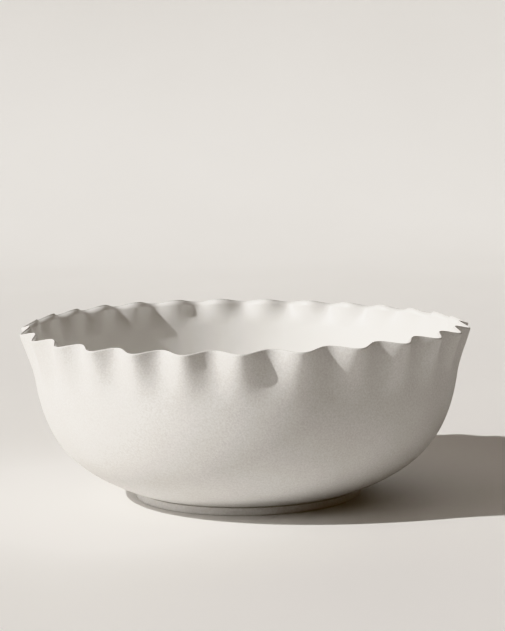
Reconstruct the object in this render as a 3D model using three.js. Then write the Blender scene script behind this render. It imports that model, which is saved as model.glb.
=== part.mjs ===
// A porcelain serving bowl: a deep round shell whose lip is pressed into soft flutes, a turned
// foot ring joined to it by a layer of slip, and a coat of glaze over the inside.
// Millimetres, +Z up. The origin is on the bowl's axis, on the surface that the foot stands on.
// Angles go round from the front, -Y, towards +X.
import * as THREE from "three";

// Overall sizes.
const RIM_RADIUS = 136; // outer face of the lip, midway between the flutes' tops and hollows
const RIM_HEIGHT = 106.5; // the lip's top, midway between its crests and dips

// The wall's outer outline, from the edge of its underside up to the lip.
const BASE_OVERHANG = 2.3; // how far the flat underside reaches out past the foot ring
const BASE_SLOPE = 20.7; // degrees above the horizontal, where the wall springs from its edge
const BASE_PULL = 37; // how far that direction carries into the curve
const LIP_FLARE = 5.5; // how far the lip reaches out past the belly, the upright part of the wall
const LIP_ABOVE_BELLY = 32.5; // how far up it is from there to the lip
const BELLY_LEAN = 9; // degrees outwards from upright
const BELLY_PULL_DOWN = 39;
const BELLY_PULL_UP = 21;
const LIP_LEAN = 6; // degrees outwards from upright, at the lip
const LIP_PULL = 10;

// Thicknesses.
const WALL_THICKNESS = 4.8; // beside the floor
const LIP_THICKNESS = 2.5;
const FLOOR_THICKNESS = 4.2; // at the centre
const GLAZE_THICKNESS = 0.7;
const SLIP_THICKNESS = 0.7;

// The foot ring.
const FOOT_RADIUS = 70.4; // outer edge of its standing face
const FOOT_TAPER = 0.5; // how much narrower it is at its top
const FOOT_HEIGHT = 4.6;
const FOOT_WIDTH = 7.5; // at the top, from its outer to its inner side
const FOOT_INNER_TAPER = 1.2; // the inner side leans, so the standing face is narrower
const FOOT_EDGE_ROUND = 0.8;
const SLIP_SETBACK = 0.9; // the slip ends this far inside the foot's top edges

// The flutes.
const FLUTES = 28;
const FLUTE_DEPTH = 3.3; // out and in from RIM_RADIUS
const FLUTE_RISE = 1.35; // up where the lip turns in, and down where it turns out
const FLUTE_START = 0.03; // the first bulge's place, in flutes from the front

// On each face the flutes fade out this far below the lip, by this power of the distance. They
// are pressed into the outside, and show less far down on the inside.
const OUTSIDE = { length: 33, fade: 1.6 };
const INSIDE = { length: 17, fade: 1.4 };

// The rim is pressed by hand, so it wanders a little: each row is a wave round the bowl, as
// [waves in a turn, size, angle of its crest in degrees].
const SPACING_WANDER = [[1, 1.2, -65], [2, 0.6, -39], [3, 0.35, -9], [4, 0.83, -13]]; // degrees
const HEIGHT_WANDER = [[1, 1.1, -74], [2, 1.15, 48]]; // millimetres
const RADIUS_WANDER = [[1, 0.3, -57], [3, 1.2, 54]]; // millimetres
const DEPTH_WANDER = [[1, 0.19, 22], [2, 0.1, 0]]; // share of FLUTE_DEPTH
const RISE_WANDER = [[1, 0.1, 170], [2, 0.15, 90]]; // share of FLUTE_RISE

// Touching pieces are modelled this far apart.
const CLEARANCE = 0.3;

// Places on the wall are given by a rise along its outline, which is 0 at the underside.
const FLOOR_EDGE_RISE = 0.2; // where the inside leaves the wall for the floor
const BELLY_RISE = 1;
const LIP_RISE = 2;

// Fineness of the faceted surfaces.
const SIDES = 2 * FLUTES; // below the flutes
const FINE_SIDES = 4 * SIDES; // eight to a flute
const PLAIN_STEPS = 7;
const FLUTED_STEPS = 5;
const FLOOR_STEPS = 3;
const LIP_STEPS = 3;
const FOOT_ROUND_STEPS = 3;
const ANGLE_ROUNDS = 12; // repeats that settle an angle on the uneven rim
const TANGENT_STEP = 1e-3;

const SLIP_HEIGHT = FOOT_HEIGHT + CLEARANCE;
const UNDERSIDE_HEIGHT = SLIP_HEIGHT + SLIP_THICKNESS + CLEARANCE;
const FLOOR_HEIGHT = UNDERSIDE_HEIGHT + FLOOR_THICKNESS;
const FULL_TURN = 2 * Math.PI;
const radians = THREE.MathUtils.degToRad;

const PORCELAIN = { color: 0xe6e4df, roughness: 0.75, metalness: 0 };
const BARE_FOOT = { color: 0xe4e1da, roughness: 0.85, metalness: 0 };
const SLIP = { color: 0xcfcac1, roughness: 0.9, metalness: 0 };
const GLAZE = { color: 0xeeece8, roughness: 0.35, metalness: 0 };

// The sum of a wander's waves at an angle.
function wander(waves, angle) {
  const terms = waves.map(([count, size, crest]) => size * Math.cos(count * (angle - radians(crest))));
  return terms.reduce((sum, term) => sum + term, 0);
}

// The angle of an even step round the flutes, moved by the uneven spacing.
function fluteAngle(evenAngle) {
  let angle = evenAngle;
  for (let round = 0; round < ANGLE_ROUNDS; round++) {
    angle = evenAngle - radians(wander(SPACING_WANDER, angle));
  }
  return angle;
}

// A point on an outline, reached from another by a length and an angle above the horizontal.
function along(point, degrees, length) {
  const angle = radians(degrees);
  return new THREE.Vector2(point.x + length * Math.cos(angle), point.y + length * Math.sin(angle));
}

const base = new THREE.Vector2(FOOT_RADIUS + BASE_OVERHANG, UNDERSIDE_HEIGHT);
const belly = new THREE.Vector2(RIM_RADIUS - LIP_FLARE, RIM_HEIGHT - LIP_ABOVE_BELLY);
const lip = new THREE.Vector2(RIM_RADIUS, RIM_HEIGHT - LIP_THICKNESS / 2);
const lowerWall = new THREE.CubicBezierCurve(
  base,
  along(base, BASE_SLOPE, BASE_PULL),
  along(belly, 90 - BELLY_LEAN, -BELLY_PULL_DOWN),
  belly,
);
const upperWall = new THREE.CubicBezierCurve(
  belly,
  along(belly, 90 - BELLY_LEAN, BELLY_PULL_UP),
  along(lip, 90 - LIP_LEAN, -LIP_PULL),
  lip,
);

// The outer outline at a rise.
function outline(rise) {
  return rise < BELLY_RISE ? lowerWall.getPoint(rise) : upperWall.getPoint(rise - BELLY_RISE);
}

// How much of a face's flutes shows at a height: none below them and all of it at the lip.
function fluteShare(face, height) {
  const share = 1 - (lip.y - height) / face.length;
  return THREE.MathUtils.clamp(share, 0, 1) ** face.fade;
}

// A point of the bowl's outer face, with its flutes fading as they do on the given face.
function facePoint(face, evenAngle, rise) {
  const { x: radius, y: height } = outline(rise);
  const share = fluteShare(face, height);
  const bend = fluteShare(OUTSIDE, height);
  const angle = fluteAngle(evenAngle);
  const wave = Math.cos(FLUTES * evenAngle - FULL_TURN * FLUTE_START);
  const bulge = FLUTE_DEPTH * wave * (1 + wander(DEPTH_WANDER, angle));
  const dip = FLUTE_RISE * wave * (1 + wander(RISE_WANDER, angle));
  const out = radius + share * bulge + bend * wander(RADIUS_WANDER, angle);
  const up = height + bend * wander(HEIGHT_WANDER, angle) - share * dip;
  return new THREE.Vector3(out * Math.sin(angle), -out * Math.cos(angle), up);
}

// The directions at a point of a face: up along the wall, and inwards through it.
function wallDirections(face, evenAngle, rise) {
  const at = Math.min(rise, LIP_RISE - TANGENT_STEP);
  const low = facePoint(face, evenAngle, at - TANGENT_STEP);
  const high = facePoint(face, evenAngle, at + TANGENT_STEP);
  const before = facePoint(face, evenAngle - TANGENT_STEP, at);
  const after = facePoint(face, evenAngle + TANGENT_STEP, at);
  const up = high.sub(low).normalize();
  const inwards = up.clone().cross(after.sub(before)).normalize();
  return { up, inwards };
}

// A point at a depth through the wall from the outer face, with the given face's flutes.
function wallPoint(face, evenAngle, rise, depth) {
  const { inwards } = wallDirections(face, evenAngle, rise);
  return facePoint(face, evenAngle, rise).addScaledVector(inwards, depth);
}

function wallThickness(rise) {
  return THREE.MathUtils.lerp(WALL_THICKNESS, LIP_THICKNESS, rise / LIP_RISE);
}

// The rise at which the flutes begin, found by halving.
function fluteRise() {
  let low = 0;
  let high = LIP_RISE;
  while (high - low > TANGENT_STEP) {
    const middle = (low + high) / 2;
    if (outline(middle).y < lip.y - OUTSIDE.length) low = middle;
    else high = middle;
  }
  return low;
}

// Even steps from one value to another, without the last.
function steps(from, to, count) {
  return Array.from({ length: count }, (_, i) => THREE.MathUtils.lerp(from, to, i / count));
}

// One ring of points round the bowl; place gives a point for an even angle.
function ring(sides, place) {
  return steps(0, FULL_TURN, sides).map(place);
}

const FLUTES_BEGIN = fluteRise();

// The rings of a face from the given rise up to the lip's edge, at a depth through the wall.
function wallRings(face, startRise, depthAt) {
  const plain = steps(startRise, FLUTES_BEGIN, PLAIN_STEPS).map((rise) =>
    ring(SIDES, (angle) => wallPoint(face, angle, rise, depthAt(rise))),
  );
  const fluted = [...steps(FLUTES_BEGIN, LIP_RISE, FLUTED_STEPS), LIP_RISE].map((rise) =>
    ring(FINE_SIDES, (angle) => wallPoint(face, angle, rise, depthAt(rise))),
  );
  return [...plain, ...fluted];
}

// The inside's outline from the centre of the floor to where it joins the wall.
function floorOutline() {
  const inside = (rise) => {
    const point = wallPoint(INSIDE, 0, rise, wallThickness(rise));
    return new THREE.Vector2(Math.hypot(point.x, point.y), point.z);
  };
  const edge = inside(FLOOR_EDGE_RISE);
  const slope = inside(FLOOR_EDGE_RISE + TANGENT_STEP).sub(edge);
  const bend = edge.x - ((edge.y - FLOOR_HEIGHT) * slope.x) / slope.y;
  return new THREE.CubicBezierCurve(
    new THREE.Vector2(0, FLOOR_HEIGHT),
    new THREE.Vector2(bend / 2, FLOOR_HEIGHT),
    new THREE.Vector2(bend, FLOOR_HEIGHT),
    edge,
  );
}

// The rings of the floor at a height above it, from the centre out to the wall.
function floorRings(above) {
  const curve = floorOutline();
  const centre = [new THREE.Vector3(0, 0, FLOOR_HEIGHT + above)];
  const around = steps(0, 1, FLOOR_STEPS)
    .slice(1)
    .map((share) => {
      const point = curve.getPoint(share);
      const slope = curve.getTangent(share);
      const radius = point.x - slope.y * above;
      const height = point.y + slope.x * above;
      return ring(SIDES, (angle) => onCircle(radius, angle, height));
    });
  return [centre, ...around];
}

// A point on a level circle, at the angle where the flutes put their step.
function onCircle(radius, evenAngle, height) {
  const angle = fluteAngle(evenAngle);
  return new THREE.Vector3(radius * Math.sin(angle), -radius * Math.cos(angle), height);
}

// The whole inside at a depth above the porcelain, from the centre of the floor to the lip's edge.
function insideRings(above) {
  const depthAt = (rise) => wallThickness(rise) + above;
  return [...floorRings(above), ...wallRings(INSIDE, FLOOR_EDGE_RISE, depthAt)];
}

// The rounded edge that joins two faces at the top of the wall, between their last rings.
function edgeRings(from, to) {
  return steps(0, Math.PI, LIP_STEPS)
    .slice(1)
    .map((turn) =>
      from.map((point, i) => {
        const { up } = wallDirections(OUTSIDE, (FULL_TURN * i) / from.length, LIP_RISE);
        const middle = point.clone().lerp(to[i], 0.5);
        const reach = point.distanceTo(middle);
        return middle.lerp(point, Math.cos(turn)).addScaledVector(up, reach * Math.sin(turn));
      }),
    );
}

// Triangles between two neighbouring rings. A ring of one point is a pole; otherwise the longer
// ring has a whole number of points for each point of the shorter.
function bandTriangles(lower, upper) {
  const flip = lower.length > upper.length;
  const [few, many] = flip ? [upper, lower] : [lower, upper];
  const share = many.length / few.length;
  const triangles = [];
  const add = (a, b, c) => triangles.push(...(flip ? [a, c, b] : [a, b, c]));
  many.forEach((point, i) => {
    const next = many[(i + 1) % many.length];
    const owner = Math.floor((i + share / 2) / share) % few.length;
    add(few[owner], next, point);
    const nextOwner = Math.floor((i + 1 + share / 2) / share) % few.length;
    if (nextOwner !== owner) add(few[owner], few[nextOwner], next);
  });
  return triangles;
}

// A closed shell from an outer and an inner face, each as rings from the axis out and up to the
// lip. Both faces are divided alike, so shells that lie on each other keep their distance.
function shellGeometry(outer, inner) {
  const edge = edgeRings(outer.at(-1), inner.at(-1));
  const rings = [...outer, ...edge, ...inner];
  let count = 0;
  const numbered = rings.map((points) => points.map(() => count++));
  const outside = numbered.slice(0, outer.length);
  const inside = numbered.slice(outer.length + edge.length);
  const between = numbered.slice(outer.length, outer.length + edge.length);
  const triangles = [
    ...faceTriangles(outside),
    ...faceTriangles([outside.at(-1), ...between, inside.at(-1)]),
    ...faceTriangles(inside).reverse(),
  ];
  const geometry = new THREE.BufferGeometry().setFromPoints(rings.flat());
  geometry.setIndex(triangles);
  geometry.computeVertexNormals();
  return geometry;
}

// The triangles through a list of rings, facing away from the axis where the list goes up.
function faceTriangles(rings) {
  return rings.slice(1).flatMap((upper, i) => bandTriangles(rings[i], upper));
}

function bodyGeometry() {
  const underside = [new THREE.Vector3(0, 0, UNDERSIDE_HEIGHT)];
  return shellGeometry([underside, ...wallRings(OUTSIDE, 0, () => 0)], insideRings(0));
}

function liningGeometry() {
  return shellGeometry(insideRings(CLEARANCE), insideRings(CLEARANCE + GLAZE_THICKNESS));
}

// A ring turned from a section, given as points of radius and height.
function turned(section) {
  return new THREE.LatheGeometry([...section, section[0]], SIDES).rotateX(Math.PI / 2);
}

function footGeometry() {
  const topOuter = FOOT_RADIUS - FOOT_TAPER;
  const topInner = topOuter - FOOT_WIDTH;
  const bottomInner = topInner + FOOT_INNER_TAPER;
  const section = new THREE.Shape();
  section.moveTo(topInner, FOOT_HEIGHT);
  section.lineTo(bottomInner, FOOT_EDGE_ROUND);
  section.quadraticCurveTo(bottomInner, 0, bottomInner + FOOT_EDGE_ROUND, 0);
  section.lineTo(FOOT_RADIUS - FOOT_EDGE_ROUND, 0);
  section.quadraticCurveTo(FOOT_RADIUS, 0, FOOT_RADIUS, FOOT_EDGE_ROUND);
  section.lineTo(topOuter, FOOT_HEIGHT);
  return turned(section.getPoints(FOOT_ROUND_STEPS));
}

function slipGeometry() {
  const outer = FOOT_RADIUS - FOOT_TAPER - SLIP_SETBACK;
  const inner = FOOT_RADIUS - FOOT_TAPER - FOOT_WIDTH + SLIP_SETBACK;
  const top = SLIP_HEIGHT + SLIP_THICKNESS;
  return turned([
    new THREE.Vector2(inner, SLIP_HEIGHT),
    new THREE.Vector2(outer, SLIP_HEIGHT),
    new THREE.Vector2(outer, top),
    new THREE.Vector2(inner, top),
  ]);
}

function piece(name, geometry, finish) {
  const mesh = new THREE.Mesh(geometry, new THREE.MeshStandardMaterial(finish));
  mesh.name = name;
  return mesh;
}

const bowl = new THREE.Group();
bowl.add(piece("foot_ring", footGeometry(), BARE_FOOT));
bowl.add(piece("luting_slip", slipGeometry(), SLIP));
bowl.add(piece("bowl_body", bodyGeometry(), PORCELAIN));
bowl.add(piece("glaze_lining", liningGeometry(), GLAZE));

export default bowl;
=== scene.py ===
import math

import bpy
import numpy as np
from mathutils import Euler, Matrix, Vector


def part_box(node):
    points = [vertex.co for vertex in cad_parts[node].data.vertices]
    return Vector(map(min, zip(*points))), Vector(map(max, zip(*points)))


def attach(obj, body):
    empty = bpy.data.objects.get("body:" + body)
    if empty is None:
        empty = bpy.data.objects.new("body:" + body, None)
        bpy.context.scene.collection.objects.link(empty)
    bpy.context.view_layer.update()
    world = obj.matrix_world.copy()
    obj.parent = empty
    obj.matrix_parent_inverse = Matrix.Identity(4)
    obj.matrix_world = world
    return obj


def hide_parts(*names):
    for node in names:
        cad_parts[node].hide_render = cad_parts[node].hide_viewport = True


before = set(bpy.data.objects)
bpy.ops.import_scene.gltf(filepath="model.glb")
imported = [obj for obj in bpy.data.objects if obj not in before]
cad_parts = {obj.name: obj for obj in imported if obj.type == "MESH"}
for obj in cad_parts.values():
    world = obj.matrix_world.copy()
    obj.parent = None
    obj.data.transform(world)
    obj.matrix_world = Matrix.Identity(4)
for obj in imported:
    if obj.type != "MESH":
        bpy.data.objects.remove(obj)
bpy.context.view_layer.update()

# ---------------------------------------------------------------------------------------------
# Sizes. Metres, +Z up; angles go round the axis from the front, -Y, towards +X.
# ---------------------------------------------------------------------------------------------

BODY_LOW, BODY_HIGH = (Vector(corner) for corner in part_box("bowl_body"))
FOOT_LOW, FOOT_HIGH = (Vector(corner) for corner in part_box("foot_ring"))
SLIP_LOW, SLIP_HIGH = (Vector(corner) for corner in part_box("luting_slip"))
MM = 0.001

FLUTE_REACH = 2.8 * MM  # how far the flutes at the two sides reach past the rim's radius
RIM_RADIUS = (BODY_HIGH.x - BODY_LOW.x) / 2 - FLUTE_REACH  # the lip's outer face, midway through them
RIM_HEIGHT = 0.783 * RIM_RADIUS  # the lip's top, midway between its crests and dips
UNDERSIDE = BODY_LOW.z

# The wall's outer outline.
BASE_RADIUS = 0.5346 * RIM_RADIUS  # where the wall springs from the flat underside
BASE_SLOPE = 20.7  # degrees above the horizontal
BASE_PULL = 0.272 * RIM_RADIUS
BELLY_RADIUS = 0.9596 * RIM_RADIUS
BELLY_HEIGHT = 0.5441 * RIM_RADIUS
BELLY_LEAN = 9  # degrees outwards from upright
BELLY_PULL_DOWN = 0.2868 * RIM_RADIUS
BELLY_PULL_UP = 0.1544 * RIM_RADIUS
LIP_LEAN = 6  # degrees outwards from upright
LIP_PULL = 0.0735 * RIM_RADIUS

WALL_THICKNESS = 4.8 * MM  # beside the floor
LIP_THICKNESS = 2.5 * MM
LIP_ROUND = 0.1  # the last rise below the lip, where the inside rounds over towards the outside
LIP_ROUND_SHARE = 0.48  # how much of the lip's thickness it takes off
LIP_EDGE = LIP_THICKNESS * (1 - LIP_ROUND_SHARE)  # the thickness at the very edge
FLOOR_THICKNESS = 4.2 * MM
GLAZE_THICKNESS = 0.6 * MM
GLAZE_TOUCH = 0.02 * MM  # the glaze starts this far above the porcelain
GLAZE_FEATHER = 0.07  # the rise over which it thins out towards the lip
GLAZE_EDGE = 0.06 * MM

# Rises: how far up the wall's outline a point is, from 0 at the underside.
FLOOR_EDGE_RISE = 0.2  # where the inside leaves the wall for the floor
BELLY_RISE = 1
LIP_RISE = 2

# The flutes. On each face they fade out this far below the lip, by this power of the distance.
FLUTES = 28
FLUTE_DEPTH = 3.3 * MM
FLUTE_RISE = 1.35 * MM
FLUTE_START = 0.03
OUTSIDE = (33 * MM, 1.6)
INSIDE = (17 * MM, 1.4)

# The uneven rim: [waves in a turn, size, angle of the crest in degrees].
SPACING_WANDER = [[1, 1.2, -65], [2, 0.6, -39], [3, 0.35, -9], [4, 0.83, -13]]  # degrees
HEIGHT_WANDER = [[1, 1.1 * MM, -74], [2, 1.15 * MM, 48]]
RADIUS_WANDER = [[1, 0.3 * MM, -57], [3, 1.2 * MM, 54]]
DEPTH_WANDER = [[1, 0.19, 22], [2, 0.1, 0]]  # share of FLUTE_DEPTH
RISE_WANDER = [[1, 0.1, 170], [2, 0.15, 90]]  # share of FLUTE_RISE
SPACING_PASSES = 12  # enough for the uneven spacing to settle

# The foot ring's and the slip's sections.
FOOT_WIDTH = 7.5 * MM  # at its top
FOOT_OUTER_TAPER = 0.5 * MM
FOOT_INNER_TAPER = 0.7 * MM
FOOT_TOP_EDGE = 0.3 * MM
FOOT_INNER_EDGE = 1.0 * MM
FOOT_OUTER_EDGE = 0.9 * MM
SLIP_WIDTH = 5.7 * MM
SLIP_EDGE = 0.1 * MM

# Fineness of the meshes.
AROUND = 16 * FLUTES
OUTER_ROWS = 84
LIP_ROWS = 10
LINING_ROWS = 72
HIDDEN_ROWS = 36
FLOOR_ROWS = 24
TANGENT_STEP = 1e-3


# ---------------------------------------------------------------------------------------------
# The wall as a formula
# ---------------------------------------------------------------------------------------------


def wander(waves, angle):
    """The sum of a wander's waves at an angle."""
    return sum(size * np.cos(count * (angle - math.radians(crest))) for count, size, crest in waves)


def flute_angle(even):
    """The angle of an even step round the flutes, moved by the uneven spacing."""
    angle = np.array(even, float)
    for _ in range(SPACING_PASSES):
        angle = even - np.radians(wander(SPACING_WANDER, angle))
    return angle


def along(point, degrees, length):
    """A point reached from another by a length and an angle above the horizontal."""
    return np.add(point, (length * math.cos(math.radians(degrees)), length * math.sin(math.radians(degrees))))


def bezier(points, share):
    """Points of a cubic curve at an array of shares, as radius and height."""
    share = np.asarray(share, float)[..., None]
    rest = 1 - share
    a, b, c, d = (np.asarray(point, float) for point in points)
    return rest**3 * a + 3 * rest**2 * share * b + 3 * rest * share**2 * c + share**3 * d


BASE = (BASE_RADIUS, UNDERSIDE)
BELLY = (BELLY_RADIUS, BELLY_HEIGHT)
LIP = (RIM_RADIUS, RIM_HEIGHT - LIP_EDGE / 2)
LOWER_WALL = (
    BASE,
    along(BASE, BASE_SLOPE, BASE_PULL),
    along(BELLY, 90 - BELLY_LEAN, -BELLY_PULL_DOWN),
    BELLY,
)
UPPER_WALL = (
    BELLY,
    along(BELLY, 90 - BELLY_LEAN, BELLY_PULL_UP),
    along(LIP, 90 - LIP_LEAN, -LIP_PULL),
    LIP,
)


def outline(rise):
    """The outer outline's radius and height at an array of rises."""
    rise = np.asarray(rise, float)
    lower = bezier(LOWER_WALL, rise)
    upper = bezier(UPPER_WALL, rise - BELLY_RISE)
    return np.where((rise < BELLY_RISE)[..., None], lower, upper)


def flute_share(face, height):
    """How much of a face's flutes shows at a height: all of it at the lip."""
    length, fade = face
    return np.clip(1 - (LIP[1] - height) / length, 0, 1) ** fade


def face_point(face, even, rise):
    """Points of the bowl's outer face, with its flutes fading as they do on the given face."""
    radius, height = np.moveaxis(outline(rise), -1, 0)
    share = flute_share(face, height)
    bend = flute_share(OUTSIDE, height)
    angle = flute_angle(even)
    wave = np.cos(FLUTES * even - 2 * math.pi * FLUTE_START)
    bulge = FLUTE_DEPTH * wave * (1 + wander(DEPTH_WANDER, angle))
    dip = FLUTE_RISE * wave * (1 + wander(RISE_WANDER, angle))
    out = radius + share * bulge + bend * wander(RADIUS_WANDER, angle)
    up = height + bend * wander(HEIGHT_WANDER, angle) - share * dip
    return np.stack([out * np.sin(angle), -out * np.cos(angle), up], axis=-1)


def unit(vectors):
    """Vectors made one long."""
    return vectors / np.linalg.norm(vectors, axis=-1, keepdims=True)


def wall_directions(face, even, rise):
    """The directions at points of a face: up along the wall, and inwards through it."""
    at = np.minimum(rise, LIP_RISE - TANGENT_STEP)
    up = unit(face_point(face, even, at + TANGENT_STEP) - face_point(face, even, at - TANGENT_STEP))
    across = face_point(face, even + TANGENT_STEP, at) - face_point(face, even - TANGENT_STEP, at)
    return up, unit(np.cross(up, across))


def wall_point(face, even, rise, depth):
    """Points at a depth through the wall from the outer face, with the given face's flutes."""
    even, rise, depth = np.broadcast_arrays(even, rise, depth)
    _, inwards = wall_directions(face, even, rise)
    return face_point(face, even, rise) + inwards * depth[..., None]


def wall_thickness(rise):
    """The wall's thickness at a rise, with the inside rounded over at the lip."""
    rise = np.asarray(rise, float)
    plain = WALL_THICKNESS + (LIP_THICKNESS - WALL_THICKNESS) * rise / LIP_RISE
    near = np.clip(1 - (LIP_RISE - rise) / LIP_ROUND, 0, 1)
    return plain * (1 - LIP_ROUND_SHARE * (1 - np.sqrt(1 - near**2)))


def inner_rises(rows):
    """Rises from the floor's edge up to the lip, closer together towards the lip."""
    steps = np.sin(np.linspace(0, math.pi / 2, rows))
    return FLOOR_EDGE_RISE + (LIP_RISE - FLOOR_EDGE_RISE) * steps


FLOOR_HEIGHT = UNDERSIDE + FLOOR_THICKNESS
TURN = np.linspace(0, 2 * math.pi, AROUND, endpoint=False)


def floor_outline():
    """The inside's outline from the centre of the floor to where it joins the wall."""
    rises = np.array([FLOOR_EDGE_RISE, FLOOR_EDGE_RISE + TANGENT_STEP])
    points = wall_point(INSIDE, 0.0, rises, wall_thickness(rises))
    edge, further = (np.array([math.hypot(point[0], point[1]), point[2]]) for point in points)
    slope = further - edge
    bend = edge[0] - (edge[1] - FLOOR_HEIGHT) * slope[0] / slope[1]
    return ((0, FLOOR_HEIGHT), (bend / 2, FLOOR_HEIGHT), (bend, FLOOR_HEIGHT), tuple(edge))


def level_ring(radius, height):
    """A level ring of points, with its steps where the flutes have theirs."""
    angle = flute_angle(TURN)
    return np.stack([radius * np.sin(angle), -radius * np.cos(angle), np.full(AROUND, height)], axis=-1)


def floor_rings(above, rows):
    """The floor's rings at a height above it, from the centre out, without the wall's first."""
    curve = floor_outline()
    shares = np.linspace(0, 1, rows, endpoint=False)
    points = bezier(curve, shares)
    ahead = bezier(curve, shares + TANGENT_STEP) - points
    leans = unit(ahead)
    centre = np.array([[0, 0, FLOOR_HEIGHT + above]])
    rings = [
        level_ring(point[0] - lean[1] * above, point[1] + lean[0] * above)
        for point, lean in zip(points[1:], leans[1:])
    ]
    return [centre, *rings]


def wall_rings(face, rises, depths):
    """Rings round the wall at matching rises and depths."""
    return [wall_point(face, TURN, rise, depth) for rise, depth in zip(rises, depths)]


def edge_rings(outer, inner, rows):
    """The rounded edge between two faces at the top of the wall, from their last rings."""
    up, _ = wall_directions(OUTSIDE, TURN, LIP_RISE)
    middle = (outer + inner) / 2
    reach = np.linalg.norm(outer - middle, axis=-1, keepdims=True)
    turns = np.linspace(0, math.pi, rows)[1:-1]
    return [middle + (outer - middle) * math.cos(turn) + up * reach * math.sin(turn) for turn in turns]


# ---------------------------------------------------------------------------------------------
# Meshes
# ---------------------------------------------------------------------------------------------


def rings_to_mesh(name, rings, closed=False):
    """A mesh through rings of points. A ring of one point is a pole; closed joins last to first."""
    starts = np.cumsum([0] + [len(ring) for ring in rings])
    faces = []
    pairs = list(zip(range(len(rings) - 1), range(1, len(rings))))
    if closed:
        pairs.append((len(rings) - 1, 0))
    for lower, upper in pairs:
        low, high = starts[lower], starts[upper]
        count = max(len(rings[lower]), len(rings[upper]))
        for i in range(count):
            j = (i + 1) % count
            if len(rings[lower]) == 1:
                faces.append((low, high + j, high + i))
            elif len(rings[upper]) == 1:
                faces.append((low + i, low + j, high))
            else:
                faces.append((low + i, low + j, high + j, high + i))
    mesh = bpy.data.meshes.new(name)
    mesh.from_pydata(np.concatenate(rings).tolist(), [], [tuple(map(int, face)) for face in faces])
    mesh.shade_smooth()
    piece = bpy.data.objects.new(name, mesh)
    bpy.context.scene.collection.objects.link(piece)
    return piece


def turned_rings(section, sides):
    """Level rings through a section's points of radius and height."""
    angle = np.linspace(0, 2 * math.pi, sides, endpoint=False)
    return [
        np.stack([radius * np.sin(angle), -radius * np.cos(angle), np.full(sides, height)], axis=-1)
        for radius, height in section
    ]


def rounded(corners, radii, steps=5):
    """A closed outline of radius and height with its corners rounded by quadratic curves."""
    points = []
    count = len(corners)
    for i, (corner, radius) in enumerate(zip(corners, radii)):
        corner = np.array(corner, float)
        before = np.array(corners[i - 1], float) - corner
        after = np.array(corners[(i + 1) % count], float) - corner
        start = corner + before / np.linalg.norm(before) * radius
        end = corner + after / np.linalg.norm(after) * radius
        for t in np.linspace(0, 1, steps):
            points.append((1 - t) ** 2 * start + 2 * t * (1 - t) * corner + t**2 * end)
    return points


def make_body():
    """The porcelain shell: underside, outer face, lip, inner face under the glaze, and floor."""
    rises = np.linspace(0, LIP_RISE, OUTER_ROWS)
    outside = wall_rings(OUTSIDE, rises, np.zeros(OUTER_ROWS))
    hidden = inner_rises(HIDDEN_ROWS)[::-1]
    inside = wall_rings(INSIDE, hidden, wall_thickness(hidden))
    lip = edge_rings(outside[-1], inside[0], LIP_ROWS)
    floor = floor_rings(0.0, FLOOR_ROWS)[::-1]
    underside = [np.array([[0, 0, UNDERSIDE]])]
    body = rings_to_mesh("bowl_shell", [*underside, *outside, *lip, *inside, *floor])
    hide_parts("bowl_body")
    return body


def make_lining():
    """The glaze over the whole inside, thinning out below the lip."""
    rises = inner_rises(LINING_ROWS)
    feather = np.clip((LIP_RISE - rises) / GLAZE_FEATHER, 0, 1)
    coat = GLAZE_EDGE + (GLAZE_THICKNESS - GLAZE_EDGE) * feather
    depths = wall_thickness(rises) + GLAZE_TOUCH + coat
    upper = wall_rings(INSIDE, rises[::-1], depths[::-1])
    upper_floor = floor_rings(GLAZE_TOUCH + GLAZE_THICKNESS, FLOOR_ROWS)[::-1]
    hidden = inner_rises(HIDDEN_ROWS)
    lower = wall_rings(INSIDE, hidden, wall_thickness(hidden) + GLAZE_TOUCH)
    lower_floor = floor_rings(GLAZE_TOUCH, FLOOR_ROWS)
    lining = rings_to_mesh("satin_lining", [*lower_floor, *lower, *upper, *upper_floor])
    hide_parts("glaze_lining")
    return lining


def make_foot():
    """The turned foot ring with softened edges."""
    outer = FOOT_HIGH.x
    section = rounded(
        [
            (outer - FOOT_OUTER_TAPER - FOOT_WIDTH, FOOT_HIGH.z),
            (outer + FOOT_INNER_TAPER - FOOT_WIDTH, FOOT_LOW.z),
            (outer, FOOT_LOW.z),
            (outer - FOOT_OUTER_TAPER, FOOT_HIGH.z),
        ],
        [FOOT_TOP_EDGE, FOOT_INNER_EDGE, FOOT_OUTER_EDGE, FOOT_TOP_EDGE],
    )
    foot = rings_to_mesh("turned_foot", turned_rings(section, AROUND // 2), closed=True)
    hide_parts("foot_ring")
    return foot


def make_slip():
    """The thin layer that joins the foot ring to the body."""
    outer = SLIP_HIGH.x
    inner = outer - SLIP_WIDTH
    section = rounded(
        [(inner, FOOT_HIGH.z), (outer, FOOT_HIGH.z), (outer, UNDERSIDE), (inner, UNDERSIDE)],
        [SLIP_EDGE] * 4,
    )
    slip = rings_to_mesh("slip_joint", turned_rings(section, AROUND // 2), closed=True)
    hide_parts("luting_slip")
    return slip


# ---------------------------------------------------------------------------------------------
# Materials
# ---------------------------------------------------------------------------------------------

WHITE = (1.0, 1.0, 1.0)
RAMP_SPAN = (0.3, 0.7)  # the part of a noise over which a ramp changes
GRAIN_HEIGHT = 0.4 * MM


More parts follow.
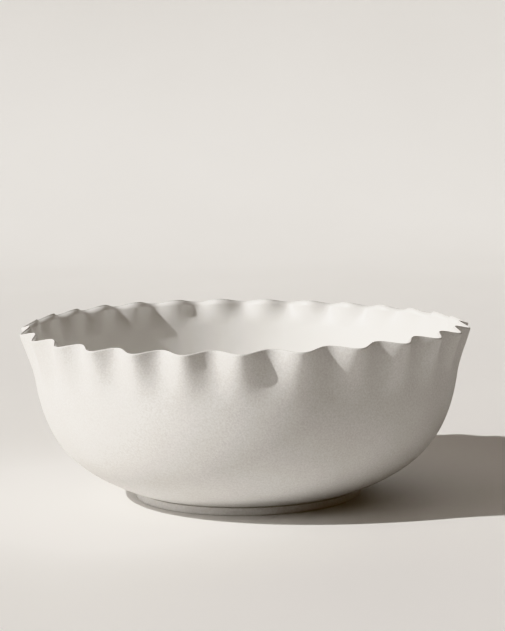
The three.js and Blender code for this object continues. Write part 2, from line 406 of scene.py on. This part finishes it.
class Nodes:
    """The nodes of one material, added and linked by short calls."""

    def __init__(self, name):
        self.material = bpy.data.materials.new(name)
        self.material.use_nodes = True
        self.tree = self.material.node_tree
        self.shader = self.tree.nodes["Principled BSDF"]
        self.place = self.add("ShaderNodeTexCoord").outputs["Object"]

    def add(self, kind, **inputs):
        """A new node with values or links for its inputs."""
        node = self.tree.nodes.new(kind)
        for key, value in inputs.items():
            self.put(value, node.inputs[key.replace("_", " ")])
        return node

    def put(self, value, socket):
        """Links a value that comes from a node, or sets a plain one."""
        if isinstance(value, bpy.types.NodeSocket):
            self.tree.links.new(value, socket)
        else:
            socket.default_value = value

    def noise(self, scale, detail, roughness=0.5):
        node = self.add(
            "ShaderNodeTexNoise", Vector=self.place, Scale=scale, Detail=detail, Roughness=roughness
        )
        return node.outputs["Fac"]

    def ramp(self, noise, dark, light):
        """A colour from dark to light over the middle of a noise."""
        node = self.add("ShaderNodeValToRGB", Fac=noise)
        for element, position, colour in zip(node.color_ramp.elements, RAMP_SPAN, (dark, light)):
            element.position = position
            element.color = (*colour, 1)
        return node.outputs["Color"]

    def mapped(self, noise, low, high):
        """A noise from 0 to 1 spread over low to high."""
        node = self.add("ShaderNodeMapRange", Value=noise, To_Min=low, To_Max=high)
        return node.outputs["Result"]

    def multiply(self, first, second):
        """Two colours multiplied. The node's colour sockets are picked by number, as names repeat."""
        node = self.tree.nodes.new("ShaderNodeMix")
        node.data_type = "RGBA"
        node.blend_type = "MULTIPLY"
        factor, colour_a, colour_b = (node.inputs[i] for i in (0, 6, 7))
        self.put(1.0, factor)
        self.put(first, colour_a)
        self.put(second, colour_b)
        return node.outputs[2]

    def bump(self, height, strength, distance):
        node = self.add("ShaderNodeBump", Height=height, Strength=strength, Distance=distance)
        return node.outputs["Normal"]

    def finish(self, **sockets):
        """Puts values or links on the shader, and gives the material."""
        for key, value in sockets.items():
            self.put(value, self.shader.inputs[key.replace("_", " ")])
        return self.material


def bare_porcelain():
    """Matt fired porcelain with a fine sandy grain."""
    n = Nodes("bare_porcelain")
    grain = n.noise(scale=900, detail=3, roughness=0.6)
    cloud = n.noise(scale=28, detail=3)
    base = n.ramp(cloud, dark=(0.79, 0.775, 0.75), light=(0.83, 0.82, 0.80))
    speckle = n.ramp(grain, dark=(0.86, 0.85, 0.84), light=WHITE)
    rough = n.mapped(grain, low=0.7, high=0.9)
    normal = n.bump(grain, strength=0.4, distance=GRAIN_HEIGHT)
    return n.finish(Base_Color=n.multiply(base, speckle), Roughness=rough, Normal=normal)


def satin_glaze():
    """Smooth satin glaze with a faint long ripple."""
    n = Nodes("satin_glaze")
    cloud = n.noise(scale=22, detail=2)
    ripple = n.noise(scale=160, detail=2)
    colour = n.ramp(cloud, dark=(0.87, 0.86, 0.835), light=(0.89, 0.88, 0.86))
    rough = n.mapped(ripple, low=0.40, high=0.50)
    normal = n.bump(ripple, strength=0.12, distance=0.6 * MM)
    return n.finish(Base_Color=colour, Roughness=rough, Normal=normal)


def foot_porcelain():
    """Porcelain wiped and rubbed smooth, its colour painted a little lighter than the wall's as painted light
    on the foot.
    """
    n = Nodes("foot_porcelain")
    grain = n.noise(scale=700, detail=3)
    cloud = n.noise(scale=60, detail=3)
    # Painted light: these colours are lighter than the wall's and stand in for light falling on the foot.
    base = n.ramp(cloud, dark=(0.84, 0.82, 0.79), light=(0.88, 0.865, 0.84))
    speckle = n.ramp(grain, dark=(0.92, 0.91, 0.90), light=WHITE)
    rough = n.mapped(grain, low=0.75, high=0.95)
    normal = n.bump(grain, strength=0.3, distance=GRAIN_HEIGHT)
    return n.finish(Base_Color=n.multiply(base, speckle), Roughness=rough, Normal=normal)


def fired_slip():
    """The slip joint, coloured dark grey as painted shade for the shadow line where the wall meets the foot.
    """
    n = Nodes("fired_slip")
    grain = n.noise(scale=500, detail=4)
    # Painted shade: the dark grey stands in for the shadow in the undercut under the wall, not the slip's own
    # colour.
    colour = n.ramp(grain, dark=(0.55, 0.52, 0.48), light=(0.64, 0.61, 0.57))
    rough = n.mapped(grain, low=0.85, high=1.0)
    normal = n.bump(grain, strength=0.4, distance=GRAIN_HEIGHT)
    return n.finish(Base_Color=colour, Roughness=rough, Normal=normal)


def pale_floor():
    """The floor's plain, faintly cloudy paint."""
    n = Nodes("pale_floor")
    cloud = n.noise(scale=3.0, detail=2)
    colour = n.ramp(cloud, dark=(0.90, 0.885, 0.862), light=(0.92, 0.905, 0.882))
    return n.finish(Base_Color=colour, Roughness=n.mapped(cloud, low=0.5, high=0.6))


# ---------------------------------------------------------------------------------------------
# Stage
# ---------------------------------------------------------------------------------------------

FLOOR_SIDE = 4.0  # from the bowl to the floor's edges
BACKDROP_START, BACKDROP_HEIGHT = 1.6, 3.0
LEFT_START, LEFT_HEIGHT = 3.0, 1.5
SWEEP_RADIUS = 0.9
SWEEP_STEPS = 24


def sweep(start, height):
    """A backdrop's outline of distance and height, from where it leaves the floor to its top."""
    turns = np.linspace(0, math.pi / 2, SWEEP_STEPS)
    curve = [(start + SWEEP_RADIUS * math.sin(turn), SWEEP_RADIUS * (1 - math.cos(turn))) for turn in turns]
    return [*curve, (start + SWEEP_RADIUS, height)]


def make_sheet(name, rows, material):
    """A sheet of the stage through rows of two points."""
    verts = [point for row in rows for point in row]
    faces = [(2 * i, 2 * i + 1, 2 * i + 3, 2 * i + 2) for i in range(len(rows) - 1)]
    mesh = bpy.data.meshes.new(name)
    mesh.from_pydata(verts, [], faces)
    mesh.shade_smooth()
    mesh.materials.append(material)
    sheet = bpy.data.objects.new(name, mesh)
    bpy.context.scene.collection.objects.link(sheet)


def make_stage():
    """A pale floor that sweeps up into a backdrop behind the bowl, and a low one on its left."""
    material = pale_floor()
    sides = (-FLOOR_SIDE, FLOOR_SIDE)
    outline_back = [(-FLOOR_SIDE, 0.0), *sweep(BACKDROP_START, BACKDROP_HEIGHT)]
    outline_left = sweep(LEFT_START, LEFT_HEIGHT)
    make_sheet("floor", [[(x, y, z) for x in sides] for y, z in outline_back], material)
    make_sheet("left_backdrop", [[(-x, y, z) for y in sides] for x, z in outline_left], material)


# ---------------------------------------------------------------------------------------------
# Lights and camera
# ---------------------------------------------------------------------------------------------

SURROUND_COLOUR = (1.0, 0.74, 0.52)
SURROUND_STRENGTH = 0.055


def direction(azimuth, elevation):
    """The direction towards a light, from its angles in degrees round from the front and up."""
    turn, lift = math.radians(azimuth), math.radians(elevation)
    return Vector((math.sin(turn) * math.cos(lift), -math.cos(turn) * math.cos(lift), math.sin(lift)))


def place_light(data, towards, distance):
    """Puts a light in a direction from the bowl and at a distance, facing it."""
    lamp = bpy.data.objects.new(data.name, data)
    lamp.location = towards * distance
    lamp.rotation_euler = towards.to_track_quat("Z", "Y").to_euler()
    bpy.context.scene.collection.objects.link(lamp)


def add_key():
    """The sun from the left, whose shadows on the bowl match the photograph's."""
    key = bpy.data.lights.new("key", "SUN")
    key.energy = 3.2
    key.angle = math.radians(1.2)
    key.color = (1.0, 0.995, 0.985)
    place_light(key, direction(azimuth=-66, elevation=38), distance=3.0)


def add_fill(name, towards, distance, size, energy, colour):
    """A soft square light."""
    fill = bpy.data.lights.new(name, "AREA")
    fill.size = size
    fill.energy = energy
    fill.color = colour
    place_light(fill, towards, distance)


def make_lights():
    """A key light, a white fill from low down, a warm one from above, and a dim warm surround."""
    add_key()
    low = direction(azimuth=-62, elevation=12)
    high = direction(azimuth=0, elevation=85)
    add_fill("low_fill", low, distance=1.3, size=0.7, energy=3.2, colour=WHITE)
    add_fill("high_fill", high, distance=1.5, size=1.0, energy=1.4, colour=(1.0, 0.86, 0.72))
    world = bpy.data.worlds.new("surround")
    world.use_nodes = True
    background = world.node_tree.nodes["Background"]
    background.inputs["Color"].default_value = (*SURROUND_COLOUR, 1)
    background.inputs["Strength"].default_value = SURROUND_STRENGTH
    bpy.context.scene.world = world


CAMERA_DISTANCE = 9.17 * RIM_RADIUS
CAMERA_HEIGHT = 1.894 * RIM_RADIUS
CAMERA_PITCH = 6.69  # degrees down
CAMERA_PAN = -0.2023  # degrees
CAMERA_ROLL = -1.07  # degrees
SENSOR_WIDTH = 36  # millimetres, as Blender takes them
LENS = 115.4  # millimetres


def make_camera():
    """The photograph's view: low, from the front, with a long lens and a slight roll."""
    pitch = math.radians(CAMERA_PITCH)
    pan = math.radians(CAMERA_PAN)
    roll = math.radians(CAMERA_ROLL)
    data = bpy.data.cameras.new("camera")
    data.sensor_width = SENSOR_WIDTH
    data.lens = LENS
    camera = bpy.data.objects.new("camera", data)
    camera.location = (0, -CAMERA_DISTANCE, CAMERA_HEIGHT)
    look = Euler((math.pi / 2 - pitch, 0, pan)).to_matrix() @ Euler((0, 0, roll)).to_matrix()
    camera.rotation_euler = look.to_euler()
    bpy.context.scene.collection.objects.link(camera)
    bpy.context.scene.camera = camera


# ---------------------------------------------------------------------------------------------
# The scene
# ---------------------------------------------------------------------------------------------

make_camera()
make_lights()
make_stage()
for maker, material in (
    (make_body, bare_porcelain),
    (make_lining, satin_glaze),
    (make_foot, foot_porcelain),
    (make_slip, fired_slip),
):
    piece = maker()
    piece.data.materials.append(material())
    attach(piece, "root")

bpy.context.scene.view_settings.view_transform = "Khronos PBR Neutral"
